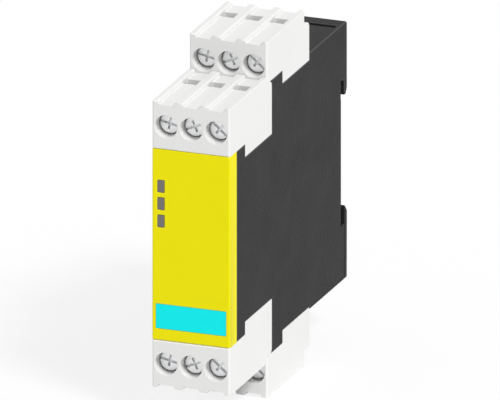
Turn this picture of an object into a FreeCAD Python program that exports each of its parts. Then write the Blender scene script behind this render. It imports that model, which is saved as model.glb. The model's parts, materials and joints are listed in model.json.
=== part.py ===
"""Safety relay for a 35 mm mounting rail, with four plug-in screw terminal blocks.

Everything is first placed with x from the middle of the width, y as the depth behind the front and z as the
height above the foot. The export then moves it, so that the origin is at the middle of the rail seat, with
+Y towards the rail and +Z up. All sizes are in millimetres.
"""

import FreeCAD, Part
import os

# Overall size
WIDTH = 22.5
DEPTH = 91.0
HEIGHT = 102.0

# Terminal blocks: the two rows stand back in steps, and the lower ones mirror the upper ones
POLES = 3
EDGE_RIDGE = 1.775
RIDGE = 2.8
BLOCK_LENGTH = 32.7
HEAD_LENGTH = 12.2
SHELF_LENGTH = 3.9
SHELF_ROUND = 1.5
REAR_SHELF_DROP = 4.3
ROW_STEP = 9.9
ROW_GAP = 0.2
FRONT_HEAD_HEIGHT = 13.7
REAR_HEAD_HEIGHT = 11.8
TOOTH_DROP = 3.7
BLOCK_EDGE = 0.35
SEAT_GAP = 0.1

# One pole, from the block's front and from its outer face
CHANNEL_DEPTH = 0.95
CHANNEL_FLARE = 0.4
WINDOW_LENGTH = 3.9
SCREW_LEVEL = 7.05
SCREW_HOLE_WEB = 0.75
SCREW_SUNK = 3.2
SCREW_HEAD_GAP = 0.3
SCREW_HEAD_LENGTH = 2.0
SLOT_WIDTH = 0.9
SLOT_DEPTH = 1.0
THREAD_RADIUS = 1.45
THREAD_GAP = 0.1
SCREW_END_GAP = 0.1
CHAMBER_WALL = 1.8
CHAMBER_ROOF = 3.4
CHAMBER_WEB = 1.25
CAGE_GAP = 0.2
CAGE_WALL = 0.8
CAGE_NUT = 1.6
CAGE_JAW = 1.2
CAGE_HEIGHT = 6.4
CAGE_TRAVEL = 3.5
BAR_THICKNESS = 1.0
BAR_SIDE_GAP = 0.25
BAR_FRONT = 18.0
FOOT_THICKNESS = 0.8
FORK_LEAF = 0.5
FORK_TOP = 6.5
FORK_TOE = 0.4
FORK_LIFT = 0.9
POCKET_GAP = 0.15

# Blade pins and their headers on the main board
BLADE_DEPTH = 27.5
BLADE_WIDTH = 2.4
BLADE_THICKNESS = 0.8
BLADE_TOP = 7.5
BLADE_GAP = 0.05
TAIL_STEP = 1.7
HEADER_LENGTH = 4.4
HEADER_HEIGHT = 2.6
HEADER_SIDE_GAP = 0.6

# Housing
WALL = 1.3
TOP_DROP = 13.5
FOOT_RISE = 14.9
CORNER_ROUND = 1.0
LUG_SLOT_BACK = 5.0
LUG_SLOT_WIDTH = 1.8
LUG_SLOT_EDGE = 1.0
LUG_SLOT_DEPTH = 8.0
PIN_SLOT_GAP = 0.2

# Rail recess and latch
RAIL_HEIGHT = 35.0
RAIL_CENTRE = 51.85
RECESS_DEPTH = 4.8
PAD_PROUD = 0.2
PAD_MARGIN = 0.2
HOOK_THICKNESS = 2.05
HOOK_GRIP = 1.65
HOOK_CHAMFER = 1.7
HOOK_TIP_CUT = 1.0
UPPER_SLOT_ROOM = 3.35
LOWER_SLOT_ROOM = 4.25
SLOT_SLANT = 0.8
LATCH_CHAMFER_DEPTH = 1.8
LATCH_CHAMFER_HEIGHT = 2.2
LATCH_TRAVEL = 3.5
LATCH_GAP = 0.1
LATCH_NECK_WIDTH = 9.8
LATCH_HEAD_WIDTH = 13.8
LATCH_HEAD_DEPTH = 3.9
LATCH_LIFT = 1.1
LATCH_PRY_WIDTH = 8.0
LATCH_PRY_HEIGHT = 1.4
LATCH_PRY_LIFT = 2.0
SPRING_WINDOW_WIDTH = 4.0
SPRING_NUB_LIFT = 2.6
SPRING_NUB_HEIGHT = 2.0
SPRING_LENGTH = 8.5
SPRING_SIDE_GAP = 0.4
SPRING_THICKNESS = 0.4
SPRING_BENDS = 8

# Front cover, its label strip and its status windows
COVER_DEPTH = 5.7
COVER_PLATE = 1.5
COVER_EDGE = 0.3
COVER_TONGUE_WIDTH = 10.0
COVER_TONGUE_THICKNESS = 1.0
LABEL_MARGIN = 1.0
LABEL_HEIGHT = 7.2
LABEL_LIFT = 3.3
LABEL_THICKNESS = 0.5
LABEL_GAP = 0.05
STATUS_WIDTH = 1.9
STATUS_HEIGHT = 3.45
STATUS_PITCH = 5.0
STATUS_COUNT = 3
STATUS_SIDE = 2.5
STATUS_DROP = 10.65
STATUS_GAP = 0.05
GUIDE_BAR_FRONT = 8.0

# Boards and what they carry
BOARD_FRONT = 11.0
BOARD_THICKNESS = 1.6
BOARD_SIDE_GAP = 0.4
BOARD_EDGE_GAP = 0.3
LOGIC_THICKNESS = 1.2
LOGIC_FRONT = 14.0
LOGIC_BACK = 45.0
LINK_FRONT = 17.0
LINK_DEPTH = 2.5
LINK_HALF_HEIGHT = 12.0
LED_SIZE = 1.4
RELAY_COUNT = 2
RELAY_DEPTH = 13.0
RELAY_GAP = 2.0
RELAY_BACK_GAP = 5.4
RELAY_END_GAP = 1.4
RELAY_TOP_GAP = 2.4
RELAY_EDGE = 0.6
CAPACITOR_RADIUS = 5.0
CAPACITOR_TOP_GAP = 2.3
CAPACITOR_BACK_GAP = 3.5
CAPACITOR_PITCH = 13.0
CAPACITOR_COUNT = 2
CHIP_WIDTH = 9.0
CHIP_THICKNESS = 1.4
CHIP_DEPTH = 29.0
CHIP_GAP = 7.0
CHIP_END_GAP = 2.1
CHIP_COUNT = 2

# What follows from them
HALF = WIDTH / 2
REAR_SETBACK = BLOCK_LENGTH - SHELF_LENGTH + ROW_GAP
FRONT_SHELF_DROP = REAR_HEAD_HEIGHT - ROW_STEP + SEAT_GAP
SEAT_DEPTH = DEPTH - RECESS_DEPTH
LUG_SLOT_FRONT = DEPTH - LUG_SLOT_BACK - LUG_SLOT_WIDTH
COVER_FOOT = ROW_STEP + FRONT_HEAD_HEIGHT
COVER_TOP = HEIGHT - COVER_FOOT
HOUSING_TOP = HEIGHT - TOP_DROP
CAVITY_BACK = min(LUG_SLOT_FRONT, SEAT_DEPTH - PAD_PROUD) - WALL
HOOK_FRONT = DEPTH - HOOK_THICKNESS
SLOT_FLOOR = SEAT_DEPTH - PAD_PROUD
UPPER_TIP = RAIL_CENTRE + RAIL_HEIGHT / 2 - HOOK_GRIP
LOWER_TIP = RAIL_CENTRE - RAIL_HEIGHT / 2 + HOOK_GRIP
UPPER_SLOT_END = RAIL_CENTRE + RAIL_HEIGHT / 2 + UPPER_SLOT_ROOM
LOWER_SLOT_END = RAIL_CENTRE - RAIL_HEIGHT / 2 - LOWER_SLOT_ROOM
GUIDE_FRONT = SEAT_DEPTH - LATCH_HEAD_DEPTH - LATCH_GAP
CAVITY_LATCH_BACK = GUIDE_FRONT - WALL
CAVITY_LATCH_TOP = LOWER_SLOT_END + WALL
CHANNEL_WIDTH = (WIDTH - 2 * EDGE_RIDGE - (POLES - 1) * RIDGE) / POLES
POLE_PITCH = CHANNEL_WIDTH + RIDGE
POLE_X = [POLE_PITCH * (i - (POLES - 1) / 2) for i in range(POLES)]
SCREW_HOLE_RADIUS = (POLE_PITCH - SCREW_HOLE_WEB) / 2
SCREW_HEAD_RADIUS = SCREW_HOLE_RADIUS - SCREW_HEAD_GAP
CHAMBER_WIDTH = POLE_PITCH - CHAMBER_WEB
BAR_WIDTH = CHAMBER_WIDTH - 2 * (CAGE_GAP + CAGE_WALL + BAR_SIDE_GAP)
MIDDLE = HEIGHT / 2
BOARD_LEFT = -HALF + WALL + BOARD_SIDE_GAP
BOARD_FACE = BOARD_LEFT + BOARD_THICKNESS
LOGIC_FACE = HALF - WALL - BOARD_SIDE_GAP - LOGIC_THICKNESS
BOARD_INSET = WALL + HEADER_HEIGHT + BOARD_EDGE_GAP
RELAY_STANDING = HALF - WALL - RELAY_TOP_GAP - BOARD_FACE
RELAY_PITCH = RELAY_DEPTH + RELAY_GAP
RELAY_FRONT = CAVITY_LATCH_BACK - RELAY_BACK_GAP - RELAY_COUNT * RELAY_PITCH + RELAY_GAP
CAPACITOR_STANDING = LOGIC_FACE - CAPACITOR_TOP_GAP - BOARD_FACE
CAPACITOR_DEPTH = RELAY_FRONT - CAPACITOR_BACK_GAP - CAPACITOR_RADIUS


def box(x, y, z):
    """A block between the two values of each of x, y and z."""
    corner = FreeCAD.Vector(min(x), min(y), min(z))
    return Part.makeBox(max(x) - min(x), max(y) - min(y), max(z) - min(z), corner)


def wide(width, centre=0.0):
    """The two x values of something that is this wide about a centre."""
    return (centre - width / 2, centre + width / 2)


def rod(radius, x, z, y0, y1):
    """A cylinder along y."""
    return Part.makeCylinder(radius, y1 - y0, FreeCAD.Vector(x, y0, z), FreeCAD.Vector(0, 1, 0))


def prism(outline, x):
    """A (depth, height) outline drawn across the width, between two x values."""
    points = [FreeCAD.Vector(min(x), d, h) for d, h in outline]
    face = Part.Face(Part.makePolygon(points + points[:1]))
    return face.extrude(FreeCAD.Vector(max(x) - min(x), 0, 0))


def edges_at(shape, test):
    """The edges whose two ends both pass the test."""
    return [e for e in shape.Edges if all(test(v.Point) for v in e.Vertexes)]


def near(a, b):
    """Whether two lengths are the same."""
    return abs(a - b) < 1e-6


def level(row_height, drop):
    """The height at which a housing face lies below a block of the upper half."""
    return row_height - drop - SEAT_GAP


def stepped_edge(inset):
    """The upper edge of the housing from the cover back to the corner, set in by a wall."""
    front_row = HEIGHT - ROW_STEP
    front_seat = level(front_row, FRONT_HEAD_HEIGHT) - inset
    front_floor = level(front_row, FRONT_HEAD_HEIGHT + TOOTH_DROP) - inset
    rear_seat = level(HEIGHT, REAR_HEAD_HEIGHT) - inset
    rear_floor = level(HEIGHT, REAR_HEAD_HEIGHT + TOOTH_DROP) - inset
    front_tooth = HEAD_LENGTH - SEAT_GAP - inset
    front_back = BLOCK_LENGTH + SEAT_GAP + inset
    rear_tooth = REAR_SETBACK + HEAD_LENGTH - SEAT_GAP - inset
    rear_back = REAR_SETBACK + BLOCK_LENGTH + SEAT_GAP + inset
    return [
        (front_tooth, front_seat),
        (front_tooth, front_floor),
        (front_back, front_floor),
        (front_back, rear_seat),
        (rear_tooth, rear_seat),
        (rear_tooth, rear_floor),
        (rear_back, rear_floor),
    ]


def mirrored(points):
    """The same (depth, height) points on the lower half, in the opposite order."""
    return [(d, HEIGHT - h) for d, h in reversed(points)]


def housing_prism():
    """The outer form of the housing, with the stepped pockets, the rail recess and the upper hook."""
    upper = stepped_edge(0)
    rear_back = upper[-1][0]
    outline = [(COVER_DEPTH, upper[0][1])] + upper
    outline += [
        (rear_back, HOUSING_TOP),
        (DEPTH, HOUSING_TOP),
        (DEPTH, UPPER_TIP + HOOK_CHAMFER),
        (DEPTH - HOOK_TIP_CUT, UPPER_TIP),
        (HOOK_FRONT, UPPER_TIP),
        (HOOK_FRONT, UPPER_SLOT_END - SLOT_SLANT),
        (SLOT_FLOOR, UPPER_SLOT_END),
        (SLOT_FLOOR, UPPER_TIP - PAD_MARGIN),
        (SEAT_DEPTH, UPPER_TIP - PAD_MARGIN),
        (SEAT_DEPTH, LOWER_TIP + PAD_MARGIN),
        (SLOT_FLOOR, LOWER_TIP + PAD_MARGIN),
        (SLOT_FLOOR, LOWER_SLOT_END),
        (HOOK_FRONT - LATCH_GAP, LOWER_SLOT_END + SLOT_SLANT),
        (HOOK_FRONT - LATCH_GAP, FOOT_RISE),
        (rear_back, FOOT_RISE),
    ]
    outline += mirrored([(COVER_DEPTH, upper[0][1])] + upper)
    body = prism(outline, wide(WIDTH))
    corner = edges_at(body, lambda p: near(p.y, DEPTH) and near(p.z, HOUSING_TOP))
    return body.makeFillet(CORNER_ROUND, corner)


def cavity_prism():
    """The space inside the housing, open at the front."""
    upper = stepped_edge(WALL)
    rear_back = upper[-1][0]
    outline = [(0, upper[0][1])] + upper
    outline += [
        (rear_back, HOUSING_TOP - WALL),
        (CAVITY_BACK, HOUSING_TOP - WALL),
        (CAVITY_BACK, CAVITY_LATCH_TOP),
        (CAVITY_LATCH_BACK, CAVITY_LATCH_TOP),
        (CAVITY_LATCH_BACK, FOOT_RISE + WALL),
        (rear_back, FOOT_RISE + WALL),
    ]
    outline += mirrored([(0, upper[0][1])] + upper)
    return prism(outline, wide(WIDTH - 2 * WALL))


def latch_channel():
    """The T-shaped way that the rail latch runs in, open at the foot."""
    foot = FOOT_RISE - 1
    head = box(
        wide(LATCH_HEAD_WIDTH + 2 * LATCH_GAP),
        (GUIDE_FRONT, SEAT_DEPTH + LATCH_GAP),
        (foot, LOWER_SLOT_END - SLOT_SLANT + LATCH_GAP),
    )
    neck = box(
        wide(LATCH_NECK_WIDTH + 2 * LATCH_GAP),
        (SEAT_DEPTH, DEPTH),
        (foot, LOWER_SLOT_END + SLOT_SLANT),
    )
    nub = box(
        wide(SPRING_WINDOW_WIDTH - 2 * LATCH_GAP),
        (GUIDE_FRONT, SEAT_DEPTH - LATCH_GAP),
        (nub_foot(), nub_foot() + SPRING_NUB_HEIGHT),
    )
    return head.fuse(neck).cut(nub)


def nub_foot():
    """The height of the underside of the nub that the latch spring stands on."""
    return FOOT_RISE + SPRING_NUB_LIFT


def pin_slots(upper, row):
    """The slots in one pocket's floor that the blade pins stand through."""
    slots = []
    for x in POLE_X:
        depth = row.setback + BLADE_DEPTH
        slots.append(
            box(
                wide(BLADE_THICKNESS + 2 * PIN_SLOT_GAP, x),
                wide(BLADE_WIDTH + 2 * PIN_SLOT_GAP, depth),
                (row.floor + SEAT_GAP, row.floor - WALL - SEAT_GAP),
            )
        )
    return [put_half(s, upper) for s in slots]


def put_half(shape, upper):
    """Leaves a shape in the upper half, or mirrors it into the lower one."""
    if upper:
        return shape
    return shape.mirror(FreeCAD.Vector(0, 0, MIDDLE), FreeCAD.Vector(0, 0, 1))


class Row:
    """One of the two rows of terminal blocks, by the place and form of its upper block."""

    def __init__(self, name, setback, top, head_height, shelf_drop):
        self.name = name
        self.setback = setback
        self.top = top
        self.head_height = head_height
        self.height = head_height + TOOTH_DROP
        self.shelf_drop = shelf_drop
        self.floor = level(top, self.height)

    def place(self, shape, upper):
        """Puts a shape made about the block's own front top edge in its place in the housing."""
        shape = shape.translated(FreeCAD.Vector(0, self.setback, self.top))
        return put_half(shape, upper)


ROWS = [
    Row("front", 0.0, HEIGHT - ROW_STEP, FRONT_HEAD_HEIGHT, FRONT_SHELF_DROP),
    Row("rear", REAR_SETBACK, HEIGHT, REAR_HEAD_HEIGHT, REAR_SHELF_DROP),
]
HALVES = [("upper", True), ("lower", False)]


def housing_shell():
    """The moulded cup with its pockets, pin slots, lug slot and latch channel."""
    shell = housing_prism().cut(cavity_prism())
    lug_slot = box(
        wide(WIDTH - 2 * LUG_SLOT_EDGE),
        (LUG_SLOT_FRONT, LUG_SLOT_FRONT + LUG_SLOT_WIDTH),
        (HOUSING_TOP + 1, HOUSING_TOP - LUG_SLOT_DEPTH),
    )
    cuts = [lug_slot, latch_channel()]
    for _, upper in HALVES:
        for row in ROWS:
            cuts += pin_slots(upper, row)
    return shell.cut(cuts)


def front_cover():
    """The shallow yellow cap with the label recess, the status windows and its two snap tongues."""
    cap = box(wide(WIDTH), (0, COVER_DEPTH), (COVER_FOOT, COVER_TOP))
    rim = edges_at(cap, lambda p: near(p.y, 0))
    cap = cap.makeChamfer(COVER_EDGE, rim)
    inner = box(
        wide(WIDTH - 2 * WALL),
        (COVER_PLATE, COVER_DEPTH + 1),
        (COVER_FOOT + WALL, COVER_TOP - WALL),
    )
    cap = cap.cut(inner)
    inner_wall, inner_top = stepped_edge(WALL)[0]
    lip = inner_top - SEAT_GAP
    for upper in (True, False):
        tongue = box(
            wide(COVER_TONGUE_WIDTH),
            (COVER_PLATE, inner_wall - SEAT_GAP),
            (lip, lip - COVER_TONGUE_THICKNESS),
        )
        root = box(wide(COVER_TONGUE_WIDTH), (COVER_PLATE, COVER_DEPTH), (COVER_TOP - WALL, lip))
        cap = cap.fuse(put_half(tongue.fuse(root), upper))
    holes = [status_box(i, STATUS_GAP, -1, COVER_PLATE + 1) for i in range(STATUS_COUNT)]
    return cap.cut(holes + [label_box(0, -1)]).removeSplitter()


def label_box(gap, front):
    """The block of the label strip, from the given depth to the floor of its recess."""
    foot = COVER_FOOT + LABEL_LIFT
    return box(
        wide(WIDTH - 2 * LABEL_MARGIN - 2 * gap),
        (front, LABEL_THICKNESS),
        (foot + gap, foot + LABEL_HEIGHT - gap),
    )


def status_box(index, gap, front, back):
    """The block of one status window, counted from the top."""
    centre = COVER_TOP - STATUS_DROP - index * STATUS_PITCH
    return box(
        wide(STATUS_WIDTH + 2 * gap, -HALF + STATUS_SIDE),
        (front, back),
        wide(STATUS_HEIGHT + 2 * gap, centre),
    )


def light_guide():
    """The clear comb that leads the light of the three LEDs to the status windows."""
    arms = [status_box(i, 0, 0, GUIDE_BAR_FRONT) for i in range(STATUS_COUNT)]
    first = status_box(0, 0, 0, 1).BoundBox
    last = status_box(STATUS_COUNT - 1, 0, 0, 1).BoundBox
    bar = box(
        (first.XMin, BOARD_FACE + LED_SIZE),
        (GUIDE_BAR_FRONT, BOARD_FRONT - SEAT_GAP),
        (last.ZMin, first.ZMax),
    )
    return bar.fuse(arms).removeSplitter()


def leds():
    """The three LEDs on the front edge of the main board."""
    out = []
    for i in range(STATUS_COUNT):
        centre = COVER_TOP - STATUS_DROP - i * STATUS_PITCH
        out.append(
            box(
                (BOARD_FACE, BOARD_FACE + LED_SIZE),
                (BOARD_FRONT, BOARD_FRONT + LED_SIZE),
                wide(LED_SIZE, centre),
            )
        )
    return out


def board_top(row):
    """The height of the edge of a board under one row's upper header."""
    return row.floor - BOARD_INSET


def main_board():
    """The large board along the left wall, under all four pin headers."""
    front_top, rear_top = [board_top(row) for row in ROWS]
    step = BLOCK_LENGTH + SEAT_GAP + BOARD_INSET
    back = CAVITY_BACK - BOARD_EDGE_GAP
    outline = [
        (BOARD_FRONT, front_top),
        (step, front_top),
        (step, rear_top),
        (back, rear_top),
        (back, CAVITY_LATCH_TOP + BOARD_EDGE_GAP),
        (CAVITY_LATCH_BACK - BOARD_EDGE_GAP, CAVITY_LATCH_TOP + BOARD_EDGE_GAP),
        (CAVITY_LATCH_BACK - BOARD_EDGE_GAP, HEIGHT - rear_top),
        (step, HEIGHT - rear_top),
        (step, HEIGHT - front_top),
        (BOARD_FRONT, HEIGHT - front_top),
    ]
    return prism(outline, (BOARD_LEFT, BOARD_FACE))


def logic_board():
    """The small board along the right wall."""
    top = board_top(ROWS[0])
    return box(
        (LOGIC_FACE, LOGIC_FACE + LOGIC_THICKNESS),
        (LOGIC_FRONT, LOGIC_BACK),
        (HEIGHT - top, top),
    )


def board_link():
    """The pin strip that joins the two boards."""
    return box(
        (BOARD_FACE, LOGIC_FACE),
        (LINK_FRONT, LINK_FRONT + LINK_DEPTH),
        (MIDDLE - LINK_HALF_HEIGHT, MIDDLE + LINK_HALF_HEIGHT),
    )


def relay(index):
    """One forced-guided relay, standing on the main board."""
    front = RELAY_FRONT + index * RELAY_PITCH
    end = tail_foot(ROWS[1], POLES - 1) - RELAY_END_GAP
    case = box(
        (BOARD_FACE, BOARD_FACE + RELAY_STANDING),
        (front, front + RELAY_DEPTH),
        (HEIGHT - end, end),
    )
    top = edges_at(case, lambda p: near(p.x, BOARD_FACE + RELAY_STANDING))
    return case.makeChamfer(RELAY_EDGE, top)


def capacitors():
    """The electrolytic capacitors, standing on the main board."""
    out = []
    for i in range(CAPACITOR_COUNT):
        z = MIDDLE + CAPACITOR_PITCH * (i - (CAPACITOR_COUNT - 1) / 2)
        foot = FreeCAD.Vector(BOARD_FACE, CAPACITOR_DEPTH, z)
        across = FreeCAD.Vector(1, 0, 0)
        out.append(Part.makeCylinder(CAPACITOR_RADIUS, CAPACITOR_STANDING, foot, across))
    return out


def chips():
    """The controller chips of the two channels, which share the logic board between the front pins' tails."""
    end = tail_foot(ROWS[0], POLES - 1) - CHIP_END_GAP
    length = (2 * (end - MIDDLE) - (CHIP_COUNT - 1) * CHIP_GAP) / CHIP_COUNT
    out = []
    for i in range(CHIP_COUNT):
        top = end - i * (length + CHIP_GAP)
        out.append(
            box((LOGIC_FACE - CHIP_THICKNESS, LOGIC_FACE), wide(CHIP_WIDTH, CHIP_DEPTH), (top - length, top))
        )
    return out


def header_box(row):
    """The block of one pin header, under its pocket's floor."""
    inner = row.floor - WALL
    return box(
        wide(WIDTH - 2 * WALL - 2 * HEADER_SIDE_GAP),
        wide(HEADER_LENGTH, row.setback + BLADE_DEPTH),
        (inner - HEADER_HEIGHT, inner),
    )


def tail_foot(row, index):
    """The height of the underside of one pin's tail, counted from the left."""
    return row.floor - WALL - HEADER_HEIGHT - TAIL_STEP * (index + 1)


def blade_pins(row):
    """The bent pins of one header: a blade up into the block, and a tail across to the main board."""
    pins = []
    for i, x in enumerate(POLE_X):
        y = wide(BLADE_WIDTH, row.setback + BLADE_DEPTH)
        tail = tail_foot(row, i)
        blade = box(wide(BLADE_THICKNESS, x), y, (tail, row.top - BLADE_TOP))
        foot = box((BOARD_FACE, x + BLADE_THICKNESS / 2), y, (tail, tail + BLADE_THICKNESS))
        pins.append(blade.fuse(foot).removeSplitter())
    return pins


def block_outline(row):
    """The side view of a block, from its front top edge."""
    shelf = BLOCK_LENGTH - SHELF_LENGTH
    return [
        (0, 0),
        (shelf, 0),
        (shelf, -row.shelf_drop),
        (BLOCK_LENGTH, -row.shelf_drop),
        (BLOCK_LENGTH, -row.height),
        (HEAD_LENGTH, -row.height),
        (HEAD_LENGTH, -row.head_height),
        (0, -row.head_height),
    ]


def cage_back():
    """The depth of the back of an open clamp cage."""
    return BAR_FRONT + BAR_THICKNESS + WINDOW_LENGTH + CAGE_JAW


def cage_front():
    """The depth of the front of an open clamp cage, short of where a closed one would reach the wall."""
    return SCREW_SUNK + SCREW_HEAD_LENGTH + CHAMBER_WALL + CAGE_TRAVEL + CAGE_GAP


def wire_channel(x):
    """The channel of one pole along the block's outer face, flared at its mouth."""
    half = CHANNEL_WIDTH / 2
    profile = [
        (half, -CHANNEL_DEPTH),
        (half, -CHANNEL_FLARE),
        (half + CHANNEL_FLARE + 1, 1),
        (-half - CHANNEL_FLARE - 1, 1),
        (-half, -CHANNEL_FLARE),
        (-half, -CHANNEL_DEPTH),
    ]
    points = [FreeCAD.Vector(x + across, -1, h) for across, h in profile]
    face = Part.Face(Part.makePolygon(points + points[:1]))
    return face.extrude(FreeCAD.Vector(0, BLOCK_LENGTH + 2, 0))


def block_body(row):
    """The moulded body of a terminal block, with the ways for screws, wires, clamps and pins."""
    body = prism(block_outline(row), wide(WIDTH))
    shelf_edge = edges_at(body, lambda p: near(p.y, BLOCK_LENGTH) and near(p.z, -row.shelf_drop))
    body = body.makeFillet(min(SHELF_ROUND, row.height - row.shelf_drop - 1), shelf_edge)
    face_edge = edges_at(body, lambda p: near(p.y, 0) and near(abs(p.x), HALF))
    body = body.makeChamfer(BLOCK_EDGE, face_edge)
    seat = SCREW_SUNK + SCREW_HEAD_LENGTH
    wall_end = seat + CHAMBER_WALL
    chamber_back = cage_back() + CAGE_GAP
    chamber_floor = SCREW_LEVEL + CAGE_HEIGHT / 2 + CAGE_GAP
    window_front = BAR_FRONT + BAR_THICKNESS
    cuts = []
    for x in POLE_X:
        cuts += [
            wire_channel(x),
            rod(SCREW_HOLE_RADIUS, x, -SCREW_LEVEL, -1, seat),
            rod(THREAD_RADIUS + THREAD_GAP, x, -SCREW_LEVEL, seat - 1, wall_end + 1),
            box(wide(CHAMBER_WIDTH, x), (wall_end, chamber_back), (-CHAMBER_ROOF, -chamber_floor)),
            box(wide(CHANNEL_WIDTH, x), (window_front, window_front + WINDOW_LENGTH), (1, -CHAMBER_ROOF - 1)),
            box(
                wide(BAR_WIDTH + 2 * POCKET_GAP, x),
                (BAR_FRONT - POCKET_GAP, BLADE_DEPTH + BLADE_WIDTH / 2 + 2 * POCKET_GAP),
                (-chamber_floor, -row.height - 1),
            ),
            box(
                wide(BLADE_THICKNESS + 2 * (BLADE_GAP + FORK_LEAF + POCKET_GAP), x),
                (
                    BLADE_DEPTH - BLADE_WIDTH / 2 - FORK_TOE - POCKET_GAP,
                    BLADE_DEPTH + BLADE_WIDTH / 2 + 2 * POCKET_GAP,
                ),
                (-FORK_TOP + POCKET_GAP, -chamber_floor - 1),
            ),
        ]
    return body.cut(cuts).removeSplitter()


def contact_bars(row):
    """The bars that the wires are clamped to, each ending in a fork for its blade pin."""
    foot_top = SCREW_LEVEL + CAGE_HEIGHT / 2 + CAGE_GAP
    blade_front = BLADE_DEPTH - BLADE_WIDTH / 2
    bars = []
    for x in POLE_X:
        plate = box(
            wide(BAR_WIDTH, x),
            (BAR_FRONT, BAR_FRONT + BAR_THICKNESS),
            (-CHAMBER_ROOF, -foot_top - FOOT_THICKNESS),
        )
        foot = box(
            wide(BAR_WIDTH, x),
            (BAR_FRONT, blade_front),
            (-foot_top, -foot_top - FOOT_THICKNESS),
        )
        leaves = []
        for side in (-1, 1):
            inner = x + side * (BLADE_THICKNESS / 2 + BLADE_GAP)
            leaves.append(
                box(
                    (inner, inner + side * FORK_LEAF),
                    (blade_front - FORK_TOE, blade_front + BLADE_WIDTH),
                    (-FORK_TOP, -row.height + FORK_LIFT),
                )
            )
        bars.append(plate.fuse([foot] + leaves).removeSplitter())
    return bars


def clamp_screw(x):
    """One captive clamp screw, with a slot in its head."""
    front = SCREW_SUNK
    seat = front + SCREW_HEAD_LENGTH
    head = rod(SCREW_HEAD_RADIUS, x, -SCREW_LEVEL, front, seat)
    shank = rod(THREAD_RADIUS, x, -SCREW_LEVEL, seat, BAR_FRONT - SCREW_END_GAP)
    slot = box(
        wide(2 * SCREW_HEAD_RADIUS + 1, x),
        (front - 1, front + SLOT_DEPTH),
        wide(SLOT_WIDTH, -SCREW_LEVEL),
    )
    return head.fuse(shank).cut(slot)


def clamp_cage(x):
    """One clamp cage: a threaded front, two sides and the jaw that presses the wire on its bar."""
    width = CHAMBER_WIDTH - 2 * CAGE_GAP
    front = cage_front()
    z = wide(CAGE_HEIGHT, -SCREW_LEVEL)
    cage = box(wide(width, x), (front, cage_back()), z)
    inside = box(
        wide(width - 2 * CAGE_WALL, x),
        (front + CAGE_NUT, cage_back() - CAGE_JAW),
        wide(CAGE_HEIGHT + 1, -SCREW_LEVEL),
    )
    thread = rod(THREAD_RADIUS + THREAD_GAP, x, -SCREW_LEVEL, front - 1, front + CAGE_NUT + 1)
    return cage.cut([inside, thread])


def rail_latch():
    """The sliding foot whose tip holds the rail's lower edge."""
    plate = prism(
        [
            (HOOK_FRONT, FOOT_RISE),
            (DEPTH, FOOT_RISE),
            (DEPTH, LOWER_TIP - LATCH_CHAMFER_HEIGHT),
            (max(DEPTH - LATCH_CHAMFER_DEPTH, HOOK_FRONT + LATCH_GAP), LOWER_TIP),
            (HOOK_FRONT, LOWER_TIP),
        ],
        wide(WIDTH),
    )
    foot = FOOT_RISE + LATCH_LIFT
    head_top = LOWER_SLOT_END - SLOT_SLANT
    neck = prism(
        [
            (SEAT_DEPTH, foot),
            (HOOK_FRONT, foot),
            (HOOK_FRONT, LOWER_SLOT_END + SLOT_SLANT),
            (SEAT_DEPTH, LOWER_SLOT_END),
        ],
        wide(LATCH_NECK_WIDTH),
    )
    head = box(wide(LATCH_HEAD_WIDTH), (SEAT_DEPTH - LATCH_HEAD_DEPTH, SEAT_DEPTH), (foot, head_top))
    window = box(
        wide(SPRING_WINDOW_WIDTH),
        (SEAT_DEPTH - LATCH_HEAD_DEPTH - 1, SEAT_DEPTH),
        (nub_foot() - LATCH_GAP, spring_top()),
    )
    pry = box(
        wide(LATCH_PRY_WIDTH),
        (HOOK_FRONT - 1, DEPTH + 1),
        (FOOT_RISE + LATCH_PRY_LIFT, FOOT_RISE + LATCH_PRY_LIFT + LATCH_PRY_HEIGHT),
    )
    return plate.fuse([neck, head]).cut([window, pry]).removeSplitter()


def spring_top():
    """The height of the latch spring's upper end."""
    return nub_foot() + SPRING_NUB_HEIGHT + SPRING_LENGTH


def latch_spring():
    """The zigzag flat spring between the nub and the top of the latch's window."""
    foot = nub_foot() + SPRING_NUB_HEIGHT
    reach = SPRING_WINDOW_WIDTH / 2 - SPRING_SIDE_GAP
    rise = (SPRING_LENGTH - SPRING_THICKNESS) / SPRING_BENDS
    front = SEAT_DEPTH - LATCH_HEAD_DEPTH + SPRING_SIDE_GAP
    strips = []
    for i in range(SPRING_BENDS):
        side = reach * (-1) ** i
        low = foot + rise * i
        corners = [
            FreeCAD.Vector(side, front, low),
            FreeCAD.Vector(-side, front, low + rise),
            FreeCAD.Vector(-side, front, low + rise + SPRING_THICKNESS),
            FreeCAD.Vector(side, front, low + SPRING_THICKNESS),
        ]
        face = Part.Face(Part.makePolygon(corners + corners[:1]))
        strips.append(face.extrude(FreeCAD.Vector(0, LATCH_HEAD_DEPTH - 2 * SPRING_SIDE_GAP, 0)))
    return strips[0].fuse(strips[1:]).removeSplitter()


def save(name, solids):
    """Moves the solids to the part's own frame and writes them as one node."""
    solids = solids if isinstance(solids, list) else [solids]
    shape = solids[0] if len(solids) == 1 else Part.makeCompound(solids)
    shape = shape.translated(FreeCAD.Vector(0, -SEAT_DEPTH, -RAIL_CENTRE))
    shape.exportStep(f"parts/{name}.step")


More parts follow.
